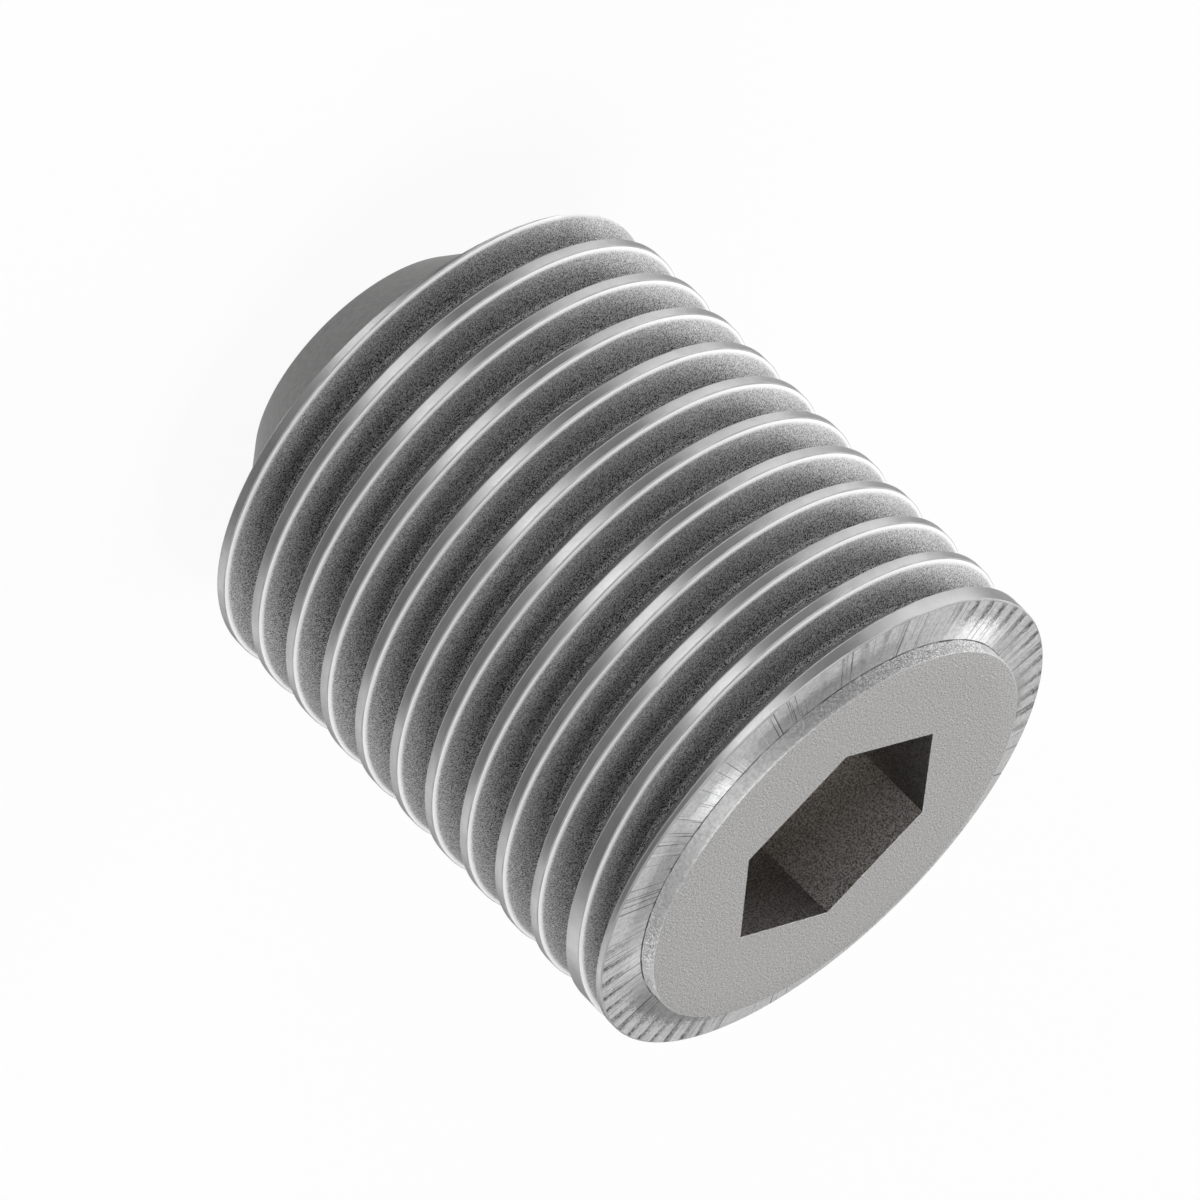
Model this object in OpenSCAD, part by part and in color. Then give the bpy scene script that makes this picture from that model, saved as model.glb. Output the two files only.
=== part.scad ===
// Headless socket screw (grub screw) with a fine metric thread, a hexagon socket and a flat point.
// It stands on its point: Z = 0 is the point's flat face and +Z is the way out of the socket.

/* [Thread] */
// Outer (nominal) diameter of the thread
thread_d = 16; // [15:0.5:20]
// Distance from one turn to the next, measured along the screw
thread_pitch = 1.5; // [1.2:0.1:2]
// Width of the flat left on the crest
crest_w = 0.3; // [0.1:0.05:0.4]
// Angle between the two flanks of the groove
flank_angle = 60; // [55:1:62]
// Share of the pitch that the groove is deep
depth_share = 0.6134; // [0.5:0.01:0.62]

/* [Length and ends] */
// Overall length, from the point's flat face to the socket's face
screw_len = 20; // [16:1:30]
// Diameter of the flat face that the point presses with
point_d = 8.4; // [6:0.1:9]
// Angle of the point's side against the axis
point_angle = 45; // [40:1:50]
// Reach of the thread past the height where the point's cone is as wide as the thread's root
thread_reach = 0.08; // [0:0.02:0.2]
// Angle of the flank that ends the thread, against straight across
end_flank = 26; // [10:1:30]
// Diameter of the raised disc round the socket
disc_d = 13.2; // [11:0.1:14]
// Height that this disc stands above the shoulder round it
disc_h = 0.47; // [0.3:0.01:0.8]
// Fall of the shoulder from the disc out to the rim of the thread
shoulder_fall = 0.05; // [0.02:0.01:0.2]

/* [Socket] */
// Size of the hexagon across its flats
socket_af = 6.65; // [5:0.05:8]
// Depth of the hexagon
socket_depth = 8; // [5:0.5:10]
// Included angle of the drill's cone at the bottom of the socket
drill_angle = 120; // [90:1:140]

/* [Thread end under the shoulder] */
// Direction from the axis, from +X, in which the groove has risen out of the metal
runout_dir = 45; // [0:1:359]
// Angle round the screw over which the groove gets shallower
runout_turn = 120; // [60:10:180]
// Distance of the groove's centre below the socket's face at that place
runout_below = 0.8; // [0.8:0.05:2]

/* [Hidden] */
steps_per_turn = 64;
round_fn = 96;
clear = 0.2;
crest_r = thread_d / 2;
groove_w = thread_pitch - crest_w;
// The flanks, carried on to a sharp edge, would meet at this depth
sharp_depth = groove_w / 2 / tan(flank_angle / 2);
// The root is an arc that touches both flanks, and its lowest point gives the depth
half_angle = flank_angle / 2;
groove_depth = min(depth_share * thread_pitch, sharp_depth - 0.03);
root_round = (sharp_depth - groove_depth) * sin(half_angle) / (1 - sin(half_angle));
root_r = crest_r - groove_depth;
root_centre_r = root_r + root_round;
point_r = point_d / 2;
// Height above the point's face at which the thread begins
thread_from = (root_r - point_r) / tan(point_angle) - thread_reach;
// The end flank runs inwards and down to the point's cone, which it meets in the neck
neck_z = (thread_from - (crest_r - point_r) * tan(end_flank))
    / (1 - tan(point_angle) * tan(end_flank));
neck_r = point_r + neck_z * tan(point_angle);
groove_end_z = screw_len - runout_below;
groove_start_z = thread_from - groove_depth * tan(end_flank) - groove_w / 2 - clear;
steps = ceil((groove_end_z - groove_start_z) / thread_pitch * steps_per_turn);
lift_steps = runout_turn / 360 * steps_per_turn;

// Section of the groove at full size, as [depth, height from the groove's centre]
function groove_section() =
    let (
        arc_depth = groove_depth - root_round * (1 - sin(half_angle)),
        arc_height = root_round * cos(half_angle)
    )
    [
        [0, -groove_w / 2],
        [arc_depth, -arc_height],
        [groove_depth, 0],
        [arc_depth, arc_height],
        [0, groove_w / 2]
    ];

// Size of the section at a step: full along the thread, then shrinking until it is out of the metal
function share(step) = min(1, (steps - step + 1) / (lift_steps + 1));

// Direction from the axis at a step
function direction(step) = runout_dir - (steps - step) * 360 / steps_per_turn;

// The groove's section in its place at a step
function groove_ring(step) =
    let (
        dir = direction(step),
        height = groove_end_z - (steps - step) * thread_pitch / steps_per_turn
    )
    [
        for (p = groove_section())
            let (r = crest_r - share(step) * p[0])
            [r * cos(dir), r * sin(dir), height + share(step) * p[1]]
    ];

// A plain ring of corners at the crest's radius
function plain_ring(z) =
    [
        for (step = [0 : steps_per_turn - 1])
            [crest_r * cos(direction(step)), crest_r * sin(direction(step)), z]
    ];

// Round stock with one right-hand helical groove, still square at both ends
module threaded_rod() {
    side = len(groove_section());
    last = steps * side;
    turn = steps_per_turn * side;
    low = last + side;
    high = low + steps_per_turn;
    top_left = high + steps % steps_per_turn;
    points = concat(
        [for (step = [0 : steps]) each groove_ring(step)],
        plain_ring(-clear),
        plain_ring(screw_len + clear)
    );
    groove = [
        for (step = [0 : steps - 1], k = [0 : side - 2])
            let (here = step * side + k)
            each [[here, here + 1, here + side], [here + 1, here + side + 1, here + side]]
    ];
    crest = [
        for (step = [0 : steps - steps_per_turn - 1])
            let (here = step * side + side - 1, over = step * side + turn)
            [here, over, over + side, here + side]
    ];
    below = [
        for (step = [0 : steps_per_turn - 2])
            [low + step, step * side, (step + 1) * side, low + step + 1]
    ];
    above = [
        for (step = [steps - steps_per_turn + 1 : steps - 1])
            let (
                here = step * side + side - 1,
                over = high + step % steps_per_turn,
                next = high + (step + 1) % steps_per_turn
            )
            [here, over, next, here + side]
    ];
    groove_starts = [low + steps_per_turn - 1, turn - side, turn, side - 1, 0, low];
    groove_ends = [
        last - turn + 2 * side - 1,
        last - turn + side - 1,
        last,
        last + side - 1,
        top_left,
        high + (steps + 1) % steps_per_turn
    ];
    caps = [
        [for (k = [side - 1 : -1 : 0]) k],
        [for (k = [0 : side - 1]) last + k],
        [for (k = [0 : steps_per_turn - 1]) low + k],
        [for (k = [steps_per_turn - 1 : -1 : 0]) high + k],
        groove_starts,
        groove_ends
    ];
    polyhedron(points = points, faces = concat(groove, crest, below, above, caps), convexity = 20);
}

// What the ends are turned to: point, end flank, shoulder and raised disc, with room round the rod
module turned_ends() {
    shoulder_z = screw_len - disc_h;
    end_slope = tan(end_flank);
    shoulder_slope = shoulder_fall / (crest_r - disc_d / 2);
    rotate_extrude($fn = round_fn)
        polygon([
            [0, 0],
            [point_r, 0],
            [neck_r, neck_z],
            [crest_r + clear, thread_from + clear * end_slope],
            [crest_r + clear, shoulder_z - shoulder_fall - clear * shoulder_slope],
            [disc_d / 2, shoulder_z],
            [disc_d / 2, screw_len],
            [0, screw_len]
        ]);
}

// Hexagon for the key, with the cone that the drill left below it
module socket() {
    drill_r = socket_af / 2;
    cone_h = drill_r / tan(drill_angle / 2);
    translate([0, 0, screw_len - socket_depth])
        cylinder(h = socket_depth + clear, d = socket_af / cos(30), $fn = 6);
    translate([0, 0, screw_len - socket_depth - cone_h])
        cylinder(h = cone_h, r1 = 0, r2 = drill_r, $fn = round_fn);
}

// The whole screw, cut from one piece
module grub_screw() {
    color("darkgray")
        difference() {
            intersection() {
                threaded_rod();
                turned_ends();
            }
            socket();
        }
}

grub_screw();
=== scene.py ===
"""A grub screw on a pale floor: its steel, its fine thread and the marks of its making."""

from math import ceil, cos, pi, radians, sin, sqrt, tan

import bpy
import numpy as np
from mathutils import Matrix, Vector


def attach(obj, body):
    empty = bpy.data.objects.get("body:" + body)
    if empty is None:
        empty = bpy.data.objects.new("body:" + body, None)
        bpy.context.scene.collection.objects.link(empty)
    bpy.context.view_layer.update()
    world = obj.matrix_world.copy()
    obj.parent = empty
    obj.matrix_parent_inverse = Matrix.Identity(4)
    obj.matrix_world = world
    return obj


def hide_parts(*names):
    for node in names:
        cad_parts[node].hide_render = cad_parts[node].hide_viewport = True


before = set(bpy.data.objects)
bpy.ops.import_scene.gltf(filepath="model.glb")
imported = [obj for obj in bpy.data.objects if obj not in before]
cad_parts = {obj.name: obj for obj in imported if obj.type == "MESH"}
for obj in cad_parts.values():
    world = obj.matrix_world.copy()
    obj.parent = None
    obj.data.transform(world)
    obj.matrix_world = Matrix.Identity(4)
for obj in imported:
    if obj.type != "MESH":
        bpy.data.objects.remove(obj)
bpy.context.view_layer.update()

MM = 0.001

# Camera, aimed at the middle of the screw and turned about its own axis
CAMERA_AIM = Vector((0, 0, 0.00998))
CAMERA_AZIMUTH = radians(266.12)
CAMERA_ELEVATION = radians(24.316)
CAMERA_DISTANCE = 0.27484
CAMERA_ROLL = radians(134.875)
CAMERA_LENS = 297.19
CAMERA_SENSOR = 36.0
CAMERA_NEAR = 0.01

# Screw, in millimetres, as in the part's source
THREAD_D = 16.0
PITCH = 1.5
CREST_W = 0.3
FLANK_HALF = radians(30)
DEPTH_SHARE = 0.6134
SCREW_LEN = 20.0
POINT_D = 8.4
POINT_ANGLE = radians(45)
THREAD_REACH = 0.08
END_FLANK = radians(26)
DISC_D = 13.2
DISC_H = 0.47
SHOULDER_FALL = 0.05
SOCKET_AF = 6.65
SOCKET_DEPTH = 8.0
DRILL_ANGLE = radians(120)
RUNOUT_DIR = radians(45)
RUNOUT_TURN = radians(120)
RUNOUT_BELOW = 0.8
CLEAR = 0.2

# What the eye sees closer up, in millimetres
FRONT_FILLET = 0.045
BACK_FILLET = 0.04
RIM_FILLET = 0.045
DISC_FILLET = 0.03
MOUTH_BEVEL = 0.008
POINT_FILLET = 0.12
SEAM_WIDTH = 0.03
SEAM_DEPTH = 0.04
# The drilled hole's radius is this much less than the hexagon's
DRILL_STEP = 0.01
# Rings this close to a corner keep it crisp
NECK_HOLD = 0.04
WALL_FOOT = 0.02

# Number of dark strokes of painted shade a turn, and the share of a stroke by which they are turned
STROKES = 65
STROKE_PHASE = 0.8
# Where they are: azimuth of the middle and half the width, in degrees, and the strength
STROKE_SECTORS = ((358.0, 36.0, 1.0), (171.0, 36.0, 1.0), (234.0, 10.0, 0.5))
SECTOR_SOFT = 6.0
# Radii on the shoulder, in millimetres, over which the strokes deepen
STROKE_RADII = (6.75, 7.7)
# And over which its shading normal rises from a lean to nearly upright
LEAN_RADII = (6.85, 7.7)

# Steps round the screw, round an edge, across the groove's root and round the point's edge
COLUMNS = 240
FILLET_STEPS = 3
ROOT_STEPS = 4
POINT_STEPS = 4
SHARP_ANGLE = radians(38)

crest_r = THREAD_D / 2
groove_w = PITCH - CREST_W
groove_depth = DEPTH_SHARE * PITCH
sharp_depth = groove_w / 2 / tan(FLANK_HALF)
root_round = (sharp_depth - groove_depth) * sin(FLANK_HALF) / (1 - sin(FLANK_HALF))
root_r = crest_r - groove_depth
point_r = POINT_D / 2
disc_r = DISC_D / 2
thread_from = (root_r - point_r) / tan(POINT_ANGLE) - THREAD_REACH
neck_z = (thread_from - (crest_r - point_r) * tan(END_FLANK)) / (
    1 - tan(POINT_ANGLE) * tan(END_FLANK)
)
neck_r = point_r + neck_z * tan(POINT_ANGLE)
shoulder_z = SCREW_LEN - DISC_H
rim_z = shoulder_z - SHOULDER_FALL
groove_end_z = SCREW_LEN - RUNOUT_BELOW
groove_start_z = thread_from - groove_depth * tan(END_FLANK) - groove_w / 2 - CLEAR
floor_z = SCREW_LEN - SOCKET_DEPTH
drill_r = SOCKET_AF / 2 - DRILL_STEP
cone_h = drill_r / tan(DRILL_ANGLE / 2)

rng = np.random.default_rng(16)


# Mesh

# One zone for each material, in the order in which the screw gets them
CREST, EDGE, FLANK, ROOT, UNDERSIDE, SHOULDER, WALL, FACE, SOCKET, POINT = range(10)


class Builder:
    """Collects points and faces. A face is dropped or loses a corner where its points have merged."""

    def __init__(self):
        self.points = []
        self.faces = []
        self.zones = []

    def add(self, r, azimuth, z):
        self.points.append((r * cos(azimuth), r * sin(azimuth), z))
        return len(self.points) - 1

    def face(self, corners, zone):
        kept = [c for i, c in enumerate(corners) if c != corners[i - 1]]
        if len(set(kept)) > 2:
            self.faces.append(kept)
            self.zones.append(zone)

    def ring(self, r, azimuths, z):
        """A closed ring of points. Both r and z are one number, or one a column."""
        n = len(azimuths)
        columns = zip(np.broadcast_to(r, n), azimuths, np.broadcast_to(z, n))
        return [self.add(*column) for column in columns]

    def band(self, lower, upper, zone):
        """Faces between two rings.

        The lower one comes first on the way from the point, over the rim and into the socket.
        """
        n = len(lower)
        for j in range(n):
            k = (j + 1) % n
            self.face([lower[j], lower[k], upper[k], upper[j]], zone)


def groove_profile():
    """The groove's section as [depth, height] from its lower crest edge to its upper one."""
    turn = pi / 2 - FLANK_HALF

    def edge(fillet):
        start = groove_w / 2 + fillet * tan(turn / 2)
        angles = [turn * i / FILLET_STEPS for i in range(FILLET_STEPS + 1)]
        return [(fillet * (1 - cos(a)), start - fillet * sin(a)) for a in angles]

    lower = [(d, -h) for d, h in edge(FRONT_FILLET)]
    upper = list(reversed(edge(BACK_FILLET)))
    root = []
    for i in range(ROOT_STEPS + 1):
        a = turn * (2 * i / ROOT_STEPS - 1)
        root.append((groove_depth - root_round * (1 - cos(a)), root_round * sin(a)))
    return np.array(lower + root + upper)


def end_flank_z(r):
    return thread_from - (crest_r - r) * tan(END_FLANK)


def groove_places(profile, total, step):
    """Radius and height of the groove's section at each step along the helix."""
    place = np.zeros((total + 1, len(profile), 2))
    for s in range(total + 1):
        left = (total - s) * step
        share = min(1.0, left / RUNOUT_TURN)
        centre = groove_end_z - left / (2 * pi) * PITCH
        place[s, :, 0] = crest_r - share * profile[:, 0]
        place[s, :, 1] = centre + share * profile[:, 1]
    return place


def add_columns(b, place, azimuths):
    """Points down each column of the thread, cut off where the end flank crosses it.

    Returns the number of the point at each step and place of the section, and the ring of
    points in which the columns end.
    """
    total = len(place) - 1
    side = place.shape[1]
    index = np.full((total + 1, side), -1, dtype=int)
    foot = []
    for j, azimuth in enumerate(azimuths):
        s = total if j == 0 else total - COLUMNS + j
        clip = -1
        before = (crest_r, rim_z)
        while s >= 0:
            for k in reversed(range(side)):
                r, z = place[s, k]
                if clip < 0 and z < end_flank_z(r):
                    over = before[1] - end_flank_z(before[0])
                    under = end_flank_z(r) - z
                    part = over / (over + under)
                    clip = b.add(
                        before[0] + (r - before[0]) * part,
                        azimuth,
                        before[1] + (z - before[1]) * part,
                    )
                if clip >= 0:
                    index[s, k] = clip
                elif s == total and k < side - 1:
                    # At its last step the groove has no width left
                    index[s, k] = index[s, side - 1]
                else:
                    index[s, k] = b.add(r, azimuth, z)
                before = (r, z)
            s -= COLUMNS
        foot.append(clip)
    return index, foot


def add_thread(b):
    """The helical thread. Returns the rings of points at its foot and at the rim."""
    profile = groove_profile()
    step = 2 * pi / COLUMNS
    total = ceil((groove_end_z - groove_start_z) / PITCH * COLUMNS)
    azimuths = [RUNOUT_DIR + j * step for j in range(COLUMNS)]
    index, foot = add_columns(b, groove_places(profile, total, step), azimuths)
    rim = b.ring(crest_r, azimuths, rim_z - RIM_FILLET)
    edge = [EDGE] * FILLET_STEPS
    zones = edge + [FLANK] + [ROOT] * ROOT_STEPS + [UNDERSIDE] + edge
    for s in range(total):
        for k, zone in enumerate(zones):
            b.face([index[s, k], index[s + 1, k], index[s + 1, k + 1], index[s, k + 1]], zone)
    for s in range(total - COLUMNS):
        over = s + COLUMNS
        b.face([index[s, -1], index[s + 1, -1], index[over + 1, 0], index[over, 0]], CREST)
    for j in range(COLUMNS):
        s = total - COLUMNS + j
        corners = [index[s, -1], index[s + 1, -1], rim[(j + 1) % COLUMNS], rim[j]]
        if j == 0:
            corners.append(index[total, 0])
        b.face(corners, CREST)
    return foot, rim, azimuths


def add_point(b, foot, azimuths):
    """End flank, neck, cone and flat face, from the thread down."""
    stations = [
        (neck_r + NECK_HOLD, neck_z + NECK_HOLD * tan(END_FLANK), UNDERSIDE),
        (neck_r, neck_z, POINT),
        (neck_r - NECK_HOLD, neck_z - NECK_HOLD / tan(POINT_ANGLE), POINT),
    ]
    turn = pi / 2 - POINT_ANGLE
    reach = POINT_FILLET * tan(turn / 2)
    for i in range(POINT_STEPS + 1):
        # The arc starts along the cone and ends along the flat face
        a = POINT_ANGLE + turn * i / POINT_STEPS
        r = point_r - reach + POINT_FILLET * cos(a)
        stations.append((r, POINT_FILLET * (1 - sin(a)), POINT))
    stations += [(share * point_r, 0.0, POINT) for share in (0.9, 0.5, 0.15)]
    above = foot
    for r, z, zone in stations:
        ring = b.ring(r, azimuths, z)
        b.band(ring, above, zone)
        above = ring
    centre = b.add(0, 0, 0.0)
    for j in range(COLUMNS):
        b.face([centre, above[(j + 1) % COLUMNS], above[j]], POINT)


def hexagon_r(azimuth):
    """Distance from the axis to the hexagon's flat in this direction."""
    return SOCKET_AF / 2 / cos((azimuth % (pi / 3)) - pi / 6)


def wander(count, amount, waves=9):
    """A smooth random offset round the screw, one value a column."""
    t = np.arange(count) / count * 2 * pi
    total = np.zeros(count)
    for w in range(1, waves + 1):
        total += rng.normal() / sqrt(w) * np.sin(w * 3 * t + rng.uniform(0, 2 * pi))
    return amount * total / np.abs(total).max()


def rounding(fillet):
    """A quarter arc round an outer edge, as [distance in from the side, drop below the top]."""
    angles = [pi / 2 * i / FILLET_STEPS for i in range(1, FILLET_STEPS + 1)]
    return [(fillet * (1 - cos(a)), fillet * (1 - sin(a))) for a in angles]


def shoulder_stations():
    """Rings of the rim, the shoulder and the ragged seam at the disc's foot."""
    slope = SHOULDER_FALL / (crest_r - disc_r)
    stations = [
        (crest_r - inset, rim_z - drop + RIM_FILLET * slope, EDGE)
        for inset, drop in rounding(RIM_FILLET)
    ]
    seam_reach = 2 * SEAM_WIDTH
    for share in (0.25, 0.5, 0.75):
        r = crest_r + (disc_r + seam_reach - crest_r) * share
        stations.append((r, rim_z + (crest_r - r) * slope, SHOULDER))
    shift = wander(COLUMNS, 0.4 * SEAM_WIDTH)
    depth = SEAM_DEPTH * (0.75 + wander(COLUMNS, 0.25, 14))
    lip_r = disc_r + 1.2 * SEAM_WIDTH + shift
    stations.append((lip_r, shoulder_z - seam_reach * slope, SHOULDER))
    bottom_r = disc_r + 0.35 * SEAM_WIDTH + 0.3 * shift
    stations.append((bottom_r, shoulder_z - depth, SHOULDER))
    return stations


def disc_stations(hexagon):
    """Rings of the disc's wall and face, as far as the hexagon's mouth."""
    heights = (shoulder_z + WALL_FOOT, shoulder_z + 0.6 * DISC_H, SCREW_LEN - DISC_FILLET)
    stations = [(disc_r, z, WALL) for z in heights]
    stations += [
        (disc_r - inset, SCREW_LEN - drop, WALL) for inset, drop in rounding(DISC_FILLET)
    ]
    inner = hexagon + 2 * MOUTH_BEVEL
    outer = disc_r - DISC_FILLET
    for share in (0.3, 0.6, 0.85):
        stations.append((outer + (inner - outer) * share, SCREW_LEN, FACE))
    stations.append((hexagon + MOUTH_BEVEL, SCREW_LEN, FACE))
    return stations


def socket_stations(hexagon):
    """Rings of the hexagon and of the drilled cone below it. The first is the bevelled mouth."""
    top = SCREW_LEN - MOUTH_BEVEL
    stations = [(hexagon, top, FACE)]
    for share in (0.12, 0.4, 0.7, 1.0):
        stations.append((hexagon, top + (floor_z - top) * share, SOCKET))
    for share in (1.0, 0.66, 0.33, 0.08):
        stations.append((drill_r * share, floor_z - cone_h * (1 - share), SOCKET))
    return stations


def add_socket_end(b, rim, azimuths):
    """Everything from the rim to the bottom of the socket."""
    hexagon = np.array([hexagon_r(a) for a in azimuths])
    stations = shoulder_stations() + disc_stations(hexagon) + socket_stations(hexagon)
    above = rim
    for r, z, zone in stations:
        ring = b.ring(r, azimuths, z)
        b.band(above, ring, zone)
        above = ring
    centre = b.add(0, 0, floor_z - cone_h)
    for j in range(COLUMNS):
        b.face([centre, above[j], above[(j + 1) % COLUMNS]], SOCKET)


def make_screw(materials):
    b = Builder()
    foot, rim, azimuths = add_thread(b)
    add_point(b, foot, azimuths)
    add_socket_end(b, rim, azimuths)
    mesh = bpy.data.meshes.new("screw")
    mesh.from_pydata([tuple(c * MM for c in p) for p in b.points], [], b.faces)
    for material in materials:
        mesh.materials.append(material)
    mesh.polygons.foreach_set("material_index", b.zones)
    mesh.validate()
    mesh.shade_smooth()
    mesh.set_sharp_from_angle(angle=SHARP_ANGLE)
    mesh.update()
    screw = bpy.data.objects.new("screw", mesh)
    bpy.context.scene.collection.objects.link(screw)
    weighted = screw.modifiers.new("even_shading", "WEIGHTED_NORMAL")
    weighted.mode = "FACE_AREA"
    weighted.keep_sharp = True
    return screw


# Materials

class Nodes:
    """Short calls for making and joining the shader nodes of one material."""

    def __init__(self, name):
        self.material = bpy.data.materials.new(name)
        self.material.use_nodes = True
        self.tree = self.material.node_tree
        self.tree.nodes.clear()

    def make(self, kind, inputs=None, **settings):
        node = self.tree.nodes.new(kind)
        for key, value in settings.items():
            setattr(node, key, value)
        for key, value in (inputs or {}).items():
            if isinstance(value, bpy.types.NodeSocket):
                self.tree.links.new(value, node.inputs[key])
            else:
                node.inputs[key].default_value = value
        return node

    def math(self, operation, a, b=0.0, c=0.0, clamp=False):
        inputs = {0: a, 1: b, 2: c}
        return self.make("ShaderNodeMath", inputs, operation=operation, use_clamp=clamp).outputs[0]

    def vector(self, operation, *parts):
        node = self.make("ShaderNodeVectorMath", dict(enumerate(parts)), operation=operation)
        return node.outputs["Value" if operation == "LENGTH" else "Vector"]

    def noise(self, where, scale, detail=2.0, rough=0.5):
        """Noise with about this many grains a metre."""
        inputs = {"Vector": where, "Scale": scale, "Detail": detail, "Roughness": rough}
        return self.make("ShaderNodeTexNoise", inputs).outputs["Fac"]

    def ramp(self, value, low, high, out_low=0.0, out_high=1.0, smooth=True):
        """The value, spread from low and high to out_low and out_high and held there beyond."""
        node = self.make(
            "ShaderNodeMapRange",
            {"Value": value, 1: low, 2: high, 3: out_low, 4: out_high},
            interpolation_type="SMOOTHSTEP" if smooth else "LINEAR",
        )
        return node.outputs[0]

    def mix(self, share, a, b):
        return self.make("ShaderNodeMix", {0: share, 6: a, 7: b}, data_type="RGBA").outputs[2]

    def greys(self, noise, low, high, dark, light, warm=0.0):
        """From the dark grey where the noise is low to the light one where it is high."""
        return self.mix(self.ramp(noise, low, high), grey(dark, warm), grey(light, warm))

    def output(self, shader):
        self.make("ShaderNodeOutputMaterial", {"Surface": shader.outputs[0]})

    def finish(self, colour, roughness, bump=None, bump_height=0.0, anisotropic=0.0, normal=None):
        """Ends in a metal shader and returns the material. The height is in millimetres."""
        inputs = {
            "Base Color": colour,
            "Roughness": roughness,
            "Metallic": 1.0,
            "Anisotropic": anisotropic,
        }
        if anisotropic:
            # A quarter turn from the tangent that runs round the axis, so gloss is drawn out upright
            inputs["Anisotropic Rotation"] = 0.25
            tangent = self.make("ShaderNodeTangent", direction_type="RADIAL", axis="Z")
            inputs["Tangent"] = tangent.outputs[0]
        if bump is not None:
            raised = {"Height": bump, "Distance": bump_height * MM, "Strength": 1.0}
            if normal is not None:
                raised["Normal"] = normal
            inputs["Normal"] = self.make("ShaderNodeBump", raised).outputs[0]
        self.output(self.make("ShaderNodeBsdfPrincipled", inputs))
        return self.material


def grey(value, warm=0.0):
    return (value * (1 + warm), value, value * (1 - warm), 1.0)


def place_on(n):
    """The place on the screw, in metres from the centre of the point's face."""
    return n.make("ShaderNodeTexCoord").outputs["Object"]


def radius_at(n, where):
    return n.vector("LENGTH", n.vector("MULTIPLY", where, (1, 1, 0)))


def azimuth_at(n, where):
    split = n.make("ShaderNodeSeparateXYZ", {0: where}).outputs
    return n.math("ARCTAN2", split["Y"], split["X"])


def height_at(n, where):
    return n.make("ShaderNodeSeparateXYZ", {0: where}).outputs["Z"]


def leaning_normal(n, where, share, rise, other_rise):
    """A shading normal that leans out from the axis, in fine grains of two kinds.

    A rise is how far the normal points up for each 1 outwards. The share is the part of the
    grains that have the other rise.
    """
    grains = n.noise(where, 25000.0, 1.0)
    # The level of the noise at which the grains change kind, from 0.28 up to 0.72 with the share
    level = n.math("MULTIPLY_ADD", share, 0.44, 0.28)
    up = n.ramp(n.math("SUBTRACT", level, grains), -0.004, 0.004, rise, other_rise)
    out = n.vector("NORMALIZE", n.vector("MULTIPLY", where, (1, 1, 0)))
    lift = n.make("ShaderNodeCombineXYZ", {0: 0.0, 1: 0.0, 2: up})
    turned = n.make(
        "ShaderNodeVectorTransform",
        {0: n.vector("ADD", out, lift.outputs[0])},
        vector_type="NORMAL",
        convert_from="OBJECT",
        convert_to="WORLD",
    )
    return turned.outputs[0]


def sector(n, azimuth, centre, half):
    """1 within half degrees of centre round the screw, 0 outside, with soft ends."""
    near = n.math("COSINE", n.math("SUBTRACT", azimuth, radians(centre)))
    return n.ramp(near, cos(radians(half + SECTOR_SOFT)), cos(radians(half - SECTOR_SOFT)))


def strokes(n, where, radius, azimuth):
    """Dark strokes of painted shade across the shoulder, darkest at the rim."""
    turn = n.math("MULTIPLY", azimuth, STROKES / (2 * pi))
    turn = n.math("ADD", turn, STROKES + STROKE_PHASE)
    turn = n.math("ADD", turn, n.math("MULTIPLY", n.noise(where, 2500.0), 0.3))
    saw = n.math("FRACT", turn)
    line = n.math("MULTIPLY", n.ramp(saw, 0.0, 0.14), n.ramp(saw, 0.2, 0.6, 1.0, 0.0))
    reach = n.ramp(radius, *(r * MM for r in STROKE_RADII), smooth=False)
    stroke_patchiness = n.ramp(n.noise(where, 8000.0, 2.0, 0.8), 0.35, 0.6, 0.3, 1.0)
    amount = n.math("MULTIPLY", n.math("MULTIPLY", line, reach), stroke_patchiness)
    places = 0.0
    for centre, half, strength in STROKE_SECTORS:
        here = n.math("MULTIPLY", sector(n, azimuth, centre, half), strength)
        places = n.math("MAXIMUM", places, here)
    return n.math("MULTIPLY", amount, places)


def scratches(n, radius, azimuth, turns, low, high):
    """Thin scratches along the radius: noise drawn out that way and cut off high."""
    spread = n.make(
        "ShaderNodeCombineXYZ",
        {
            0: n.math("MULTIPLY", n.math("COSINE", azimuth), turns),
            1: n.math("MULTIPLY", n.math("SINE", azimuth), turns),
            2: n.math("MULTIPLY", radius, 250.0),
        },
    )
    return n.ramp(n.noise(spread.outputs[0], 1.0, 1.0), low, high)


def seam(n, where, value, near, far):
    """A mask for the painted shade in the seam's groove: 1 up to near, 0 from far on, and broken up
    here and there.
    """
    ragged = n.math("MULTIPLY", n.math("SUBTRACT", n.noise(where, 3000.0, 3.0), 0.5), 0.06 * MM)
    line = n.ramp(n.math("ADD", value, ragged), near, far, 1.0, 0.0)
    gaps = n.ramp(n.noise(where, 1200.0), 0.3, 0.5, 0.2, 1.0)
    return n.math("MULTIPLY", line, gaps)


def dimmed(n, colour, amount, most):
    """The colour, darkened by up to most where amount is 1."""
    return n.mix(n.math("MULTIPLY", amount, most), colour, grey(0.02))


def crest_steel():
    n = Nodes("crest_steel")
    where = place_on(n)
    grain = n.noise(where, 16000.0, 2.0, 0.6)
    colour = n.greys(n.noise(where, 700.0, 3.0, 0.6), 0.3, 0.7, dark=0.296, light=0.36)
    roughness = n.ramp(grain, 0.3, 0.7, 0.46, 0.54)
    return n.finish(colour, roughness, grain, 0.0008, anisotropic=0.9)


def edge_steel():
    n = Nodes("edge_steel")
    smear = n.noise(place_on(n), 900.0, 3.0, 0.6)
    # Lighter than the crest's steel: partly wear on the rounded edges, partly a painted highlight
    # along them
    return n.finish(n.greys(smear, 0.3, 0.7, dark=0.38, light=0.5), 0.85)


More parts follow.
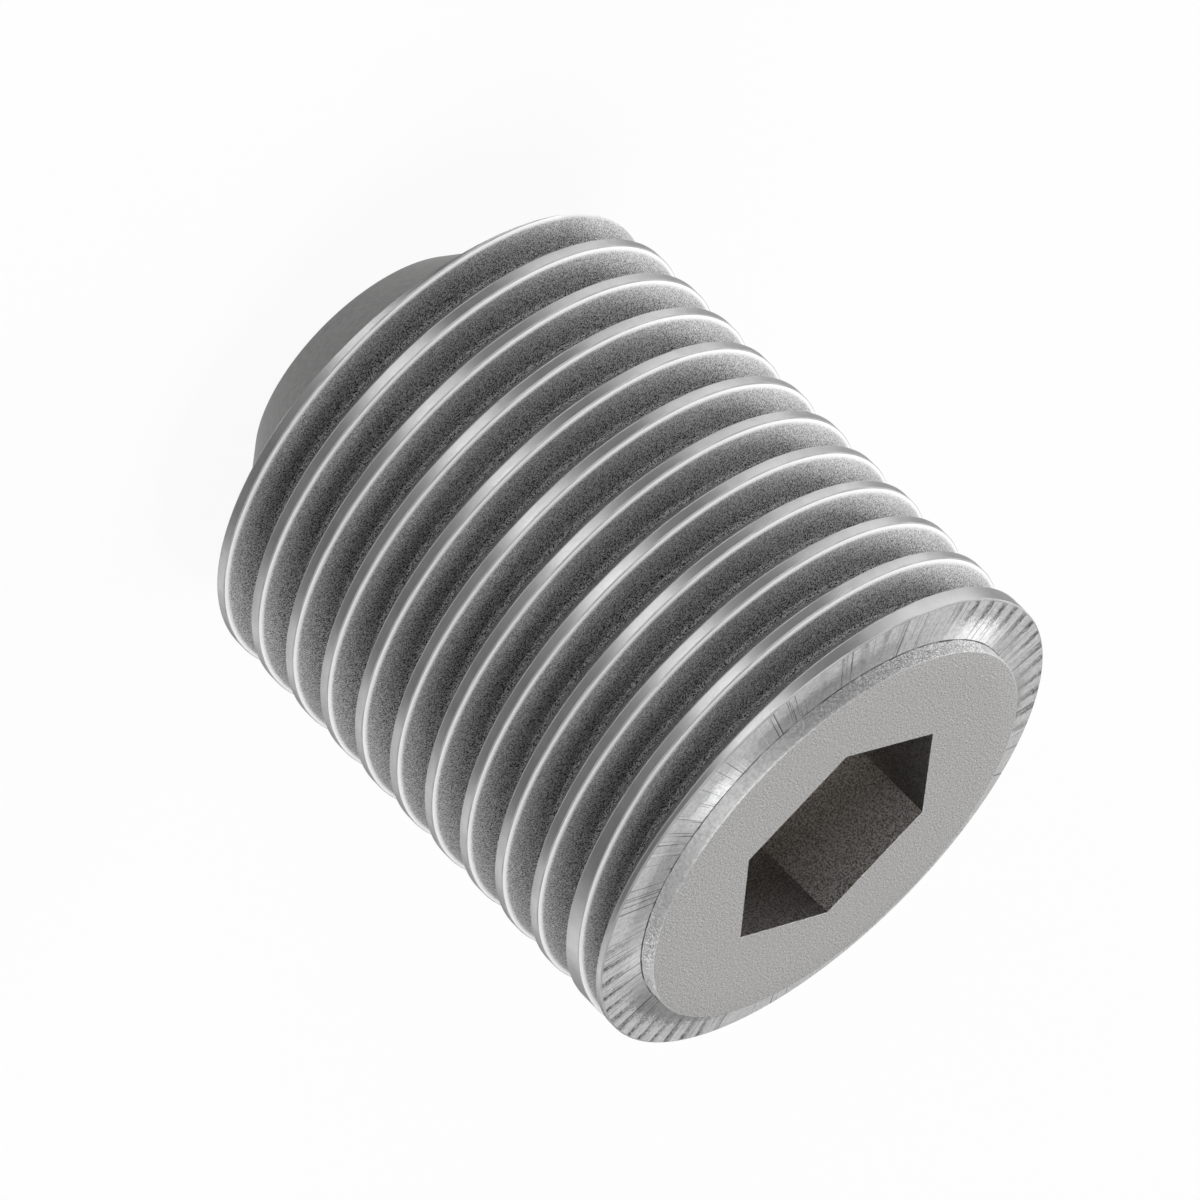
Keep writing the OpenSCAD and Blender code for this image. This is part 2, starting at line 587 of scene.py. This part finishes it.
def flank_steel():
    """Speckled, with painted shade dark down in the groove, painted light further out and a painted
    highlight at the lip.
    """
    n = Nodes("flank_steel")
    where = place_on(n)
    speck = n.noise(where, 23000.0, 2.0, 1.0)
    out = n.ramp(radius_at(n, where), root_r * MM, crest_r * MM, smooth=False)
    # Painted shade: the flank's steel darkens towards the groove's root
    deep = n.greys(speck, 0.44, 0.56, dark=0.005, light=0.43)
    painted_light_outer = n.greys(speck, 0.36, 0.64, dark=0.33, light=0.84)
    # Painted highlight: near white at the lip beside the crest
    lip = n.ramp(out, 0.80, 0.94)
    colour = n.mix(lip, n.mix(n.math("POWER", out, 1.9), deep, painted_light_outer), grey(0.88))
    return n.finish(colour, n.ramp(lip, 0.0, 1.0, 0.43, 0.7), speck, 0.003)


def root_steel(name, roughness):
    n = Nodes(name)
    speck = n.noise(place_on(n), 23000.0, 2.0, 1.0)
    # Painted shade: dark speckle down in the groove's root and on the flanks that face down
    colour = n.greys(speck, 0.44, 0.56, dark=0.005, light=0.3)
    return n.finish(colour, roughness, speck, 0.003)


def shoulder_steel():
    """Cut steel with scratches and dark strokes of painted shade. Near the disc it shines like a
    rounded foot.
    """
    n = Nodes("shoulder_steel")
    where = place_on(n)
    radius = radius_at(n, where)
    azimuth = azimuth_at(n, where)
    grain = n.noise(where, 9000.0, 3.0, 0.7)
    colour = n.greys(grain, 0.3, 0.7, dark=0.56, light=0.77)
    # Painted shade: the dark strokes across the shoulder
    colour = dimmed(n, colour, strokes(n, where, radius, azimuth), 0.95)
    colour = dimmed(n, colour, scratches(n, radius, azimuth, 120.0, 0.63, 0.68), 0.7)
    light = n.math("MULTIPLY", scratches(n, radius, azimuth, 140.0, 0.64, 0.70), 0.5)
    colour = n.mix(light, colour, grey(0.95))
    # Painted shade in the seam's groove at the disc's foot
    at_foot = seam(n, where, radius, (disc_r + 0.01) * MM, (disc_r + 0.05) * MM)
    colour = dimmed(n, colour, at_foot, 0.85)
    outer = n.ramp(radius, *(r * MM for r in LEAN_RADII))
    normal = leaning_normal(n, where, outer, 1.0, 14.0)
    return n.finish(colour, 0.3, grain, 0.001, normal=normal)


def wall_steel():
    """Cut steel like the shoulder's, that shines as if it faced mostly up."""
    n = Nodes("wall_steel")
    where = place_on(n)
    grain = n.noise(where, 9000.0, 3.0, 0.7)
    colour = n.greys(grain, 0.3, 0.7, dark=0.54, light=0.74)
    # Painted shade in the seam's groove at the wall's foot
    at_foot = seam(n, where, height_at(n, where), shoulder_z * MM, (shoulder_z + 0.02) * MM)
    colour = dimmed(n, colour, at_foot, 0.85)
    normal = leaning_normal(n, where, 0.55, 1.0, 5.0)
    return n.finish(colour, 0.45, grain, 0.001, normal=normal)


def face_steel():
    n = Nodes("face_steel")
    grain = n.noise(place_on(n), 19000.0, 2.0, 1.0)
    colour = n.greys(grain, 0.36, 0.64, dark=0.24, light=0.73, warm=0.012)
    return n.finish(colour, 0.5, grain, 0.0015)


def socket_steel():
    """Painted shade in the socket: darker towards the mouth, over the first 2.8 mm."""
    n = Nodes("socket_steel")
    where = place_on(n)
    grain = n.noise(where, 18000.0, 2.0, 1.0)
    deep = n.greys(grain, 0.38, 0.62, dark=0.24, light=0.92, warm=0.045)
    # Painted shade on the socket's walls near the mouth
    mouth = n.greys(grain, 0.38, 0.62, dark=0.04, light=0.31, warm=0.06)
    height = height_at(n, where)
    up = n.ramp(height, (SCREW_LEN - 2.8) * MM, SCREW_LEN * MM, smooth=False)
    return n.finish(n.mix(up, deep, mouth), 0.35, grain, 0.002)


def point_steel():
    n = Nodes("point_steel")
    grain = n.noise(place_on(n), 5000.0, 3.0, 0.7)
    colour = n.greys(grain, 0.3, 0.7, dark=0.172, light=0.233, warm=0.01)
    return n.finish(colour, 0.34, grain, 0.0006)


def steels():
    """The materials in the order of the zones."""
    return [
        crest_steel(),
        edge_steel(),
        flank_steel(),
        root_steel("root_steel", 0.9),
        root_steel("underside_steel", 0.7),
        shoulder_steel(),
        wall_steel(),
        face_steel(),
        socket_steel(),
        point_steel(),
    ]


# Studio

FLOOR_HALF = 3.0
# Part of the floor's brightness that doesn't depend on the light, and how bright that is
# in reflections against what the camera sees
FLOOR_GLOW = 0.92
FLOOR_MIRRORED = 0.625
# World brightness against the sine of the elevation
WORLD_STOPS = ((0.0, 0.28), (0.35, 0.44), (0.7, 0.375), (1.0, 0.156))
LAMP_DISTANCE = 0.6
# Name, azimuth from the camera's and elevation in degrees, width and height in metres, radiance
LAMPS = (
    ("front", -8, 10, 0.32, 0.2, 15.31),
    ("side", -94, 9, 0.66, 0.18, 9.38),
    ("far_side", -148, 20, 0.35, 0.3, 1.25),
    ("other_side", 113, 9, 0.4, 0.18, 6.88),
    ("back", 180, 26, 0.6, 0.35, 0.31),
    ("back_side", -123, 50, 0.3, 0.3, 0.25),
    ("top_side", 130, 82, 0.2, 0.2, 9.38),
    ("top_front", 38, 62, 0.19, 0.19, 1.62),
)


def floor_white():
    """White where it is seen or mirrored, and a matt floor that takes light and shadow."""
    n = Nodes("floor_white")
    path = n.make("ShaderNodeLightPath").outputs
    seen = n.math("ADD", path["Is Camera Ray"], path["Is Glossy Ray"], clamp=True)
    seen = n.math("ADD", seen, path["Is Transmission Ray"], clamp=True)
    matte = n.make("ShaderNodeBsdfDiffuse", {"Color": grey(0.8)})
    strength = n.ramp(path["Is Glossy Ray"], 0.0, 1.0, 1.0, FLOOR_MIRRORED)
    glow = n.make("ShaderNodeEmission", {"Color": grey(1.0), "Strength": strength})
    share = n.math("MULTIPLY", seen, FLOOR_GLOW)
    n.output(n.make("ShaderNodeMixShader", {0: share, 1: matte.outputs[0], 2: glow.outputs[0]}))
    return n.material


def make_floor():
    mesh = bpy.data.meshes.new("floor")
    half = FLOOR_HALF
    corners = [(-half, -half, 0), (half, -half, 0), (half, half, 0), (-half, half, 0)]
    mesh.from_pydata(corners, [], [(0, 1, 2, 3)])
    mesh.materials.append(floor_white())
    floor = bpy.data.objects.new("floor", mesh)
    bpy.context.scene.collection.objects.link(floor)


def direction(azimuth, elevation):
    return Vector(
        (cos(azimuth) * cos(elevation), sin(azimuth) * cos(elevation), sin(elevation))
    )


def make_lamp(name, turn, elevation, width, height, radiance):
    """A soft rectangular lamp that faces the screw."""
    light = bpy.data.lights.new(name, "AREA")
    light.shape = "RECTANGLE"
    light.size = width
    light.size_y = height
    light.energy = radiance * pi * width * height
    away = direction(CAMERA_AZIMUTH + radians(turn), radians(elevation))
    obj = bpy.data.objects.new(name, light)
    obj.location = CAMERA_AIM + away * LAMP_DISTANCE
    obj.rotation_mode = "QUATERNION"
    obj.rotation_quaternion = away.to_track_quat("Z", "Y")
    bpy.context.scene.collection.objects.link(obj)


def make_world():
    world = bpy.data.worlds.new("studio")
    world.use_nodes = True
    tree = world.node_tree
    where = tree.nodes.new("ShaderNodeTexCoord")
    split = tree.nodes.new("ShaderNodeSeparateXYZ")
    ramp = tree.nodes.new("ShaderNodeValToRGB")
    stops = ramp.color_ramp.elements
    ramp.color_ramp.interpolation = "EASE"
    while len(stops) < len(WORLD_STOPS):
        stops.new(0.5)
    for stop, (place, level) in zip(stops, WORLD_STOPS):
        stop.position = place
        stop.color = grey(level)
    tree.links.new(where.outputs["Generated"], split.inputs[0])
    tree.links.new(split.outputs[2], ramp.inputs[0])
    tree.links.new(ramp.outputs[0], tree.nodes["Background"].inputs[0])
    bpy.context.scene.world = world


def make_camera():
    camera = bpy.data.cameras.new("camera")
    camera.lens = CAMERA_LENS
    camera.sensor_width = CAMERA_SENSOR
    camera.clip_start = CAMERA_NEAR
    away = direction(CAMERA_AZIMUTH, CAMERA_ELEVATION)
    level = Vector((0, 0, 1)).cross(away).normalized()
    upright = away.cross(level)
    right = level * cos(CAMERA_ROLL) + upright * sin(CAMERA_ROLL)
    up = upright * cos(CAMERA_ROLL) - level * sin(CAMERA_ROLL)
    obj = bpy.data.objects.new("camera", camera)
    turn = Matrix((right, up, away)).transposed().to_4x4()
    obj.matrix_world = Matrix.Translation(CAMERA_AIM + away * CAMERA_DISTANCE) @ turn
    bpy.context.scene.collection.objects.link(obj)
    bpy.context.scene.camera = obj


make_camera()
make_floor()
make_world()
for settings in LAMPS:
    make_lamp(*settings)
screw = make_screw(steels())
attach(screw, "root")
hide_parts("grub_screw")

bpy.context.scene.view_settings.view_transform = "Standard"
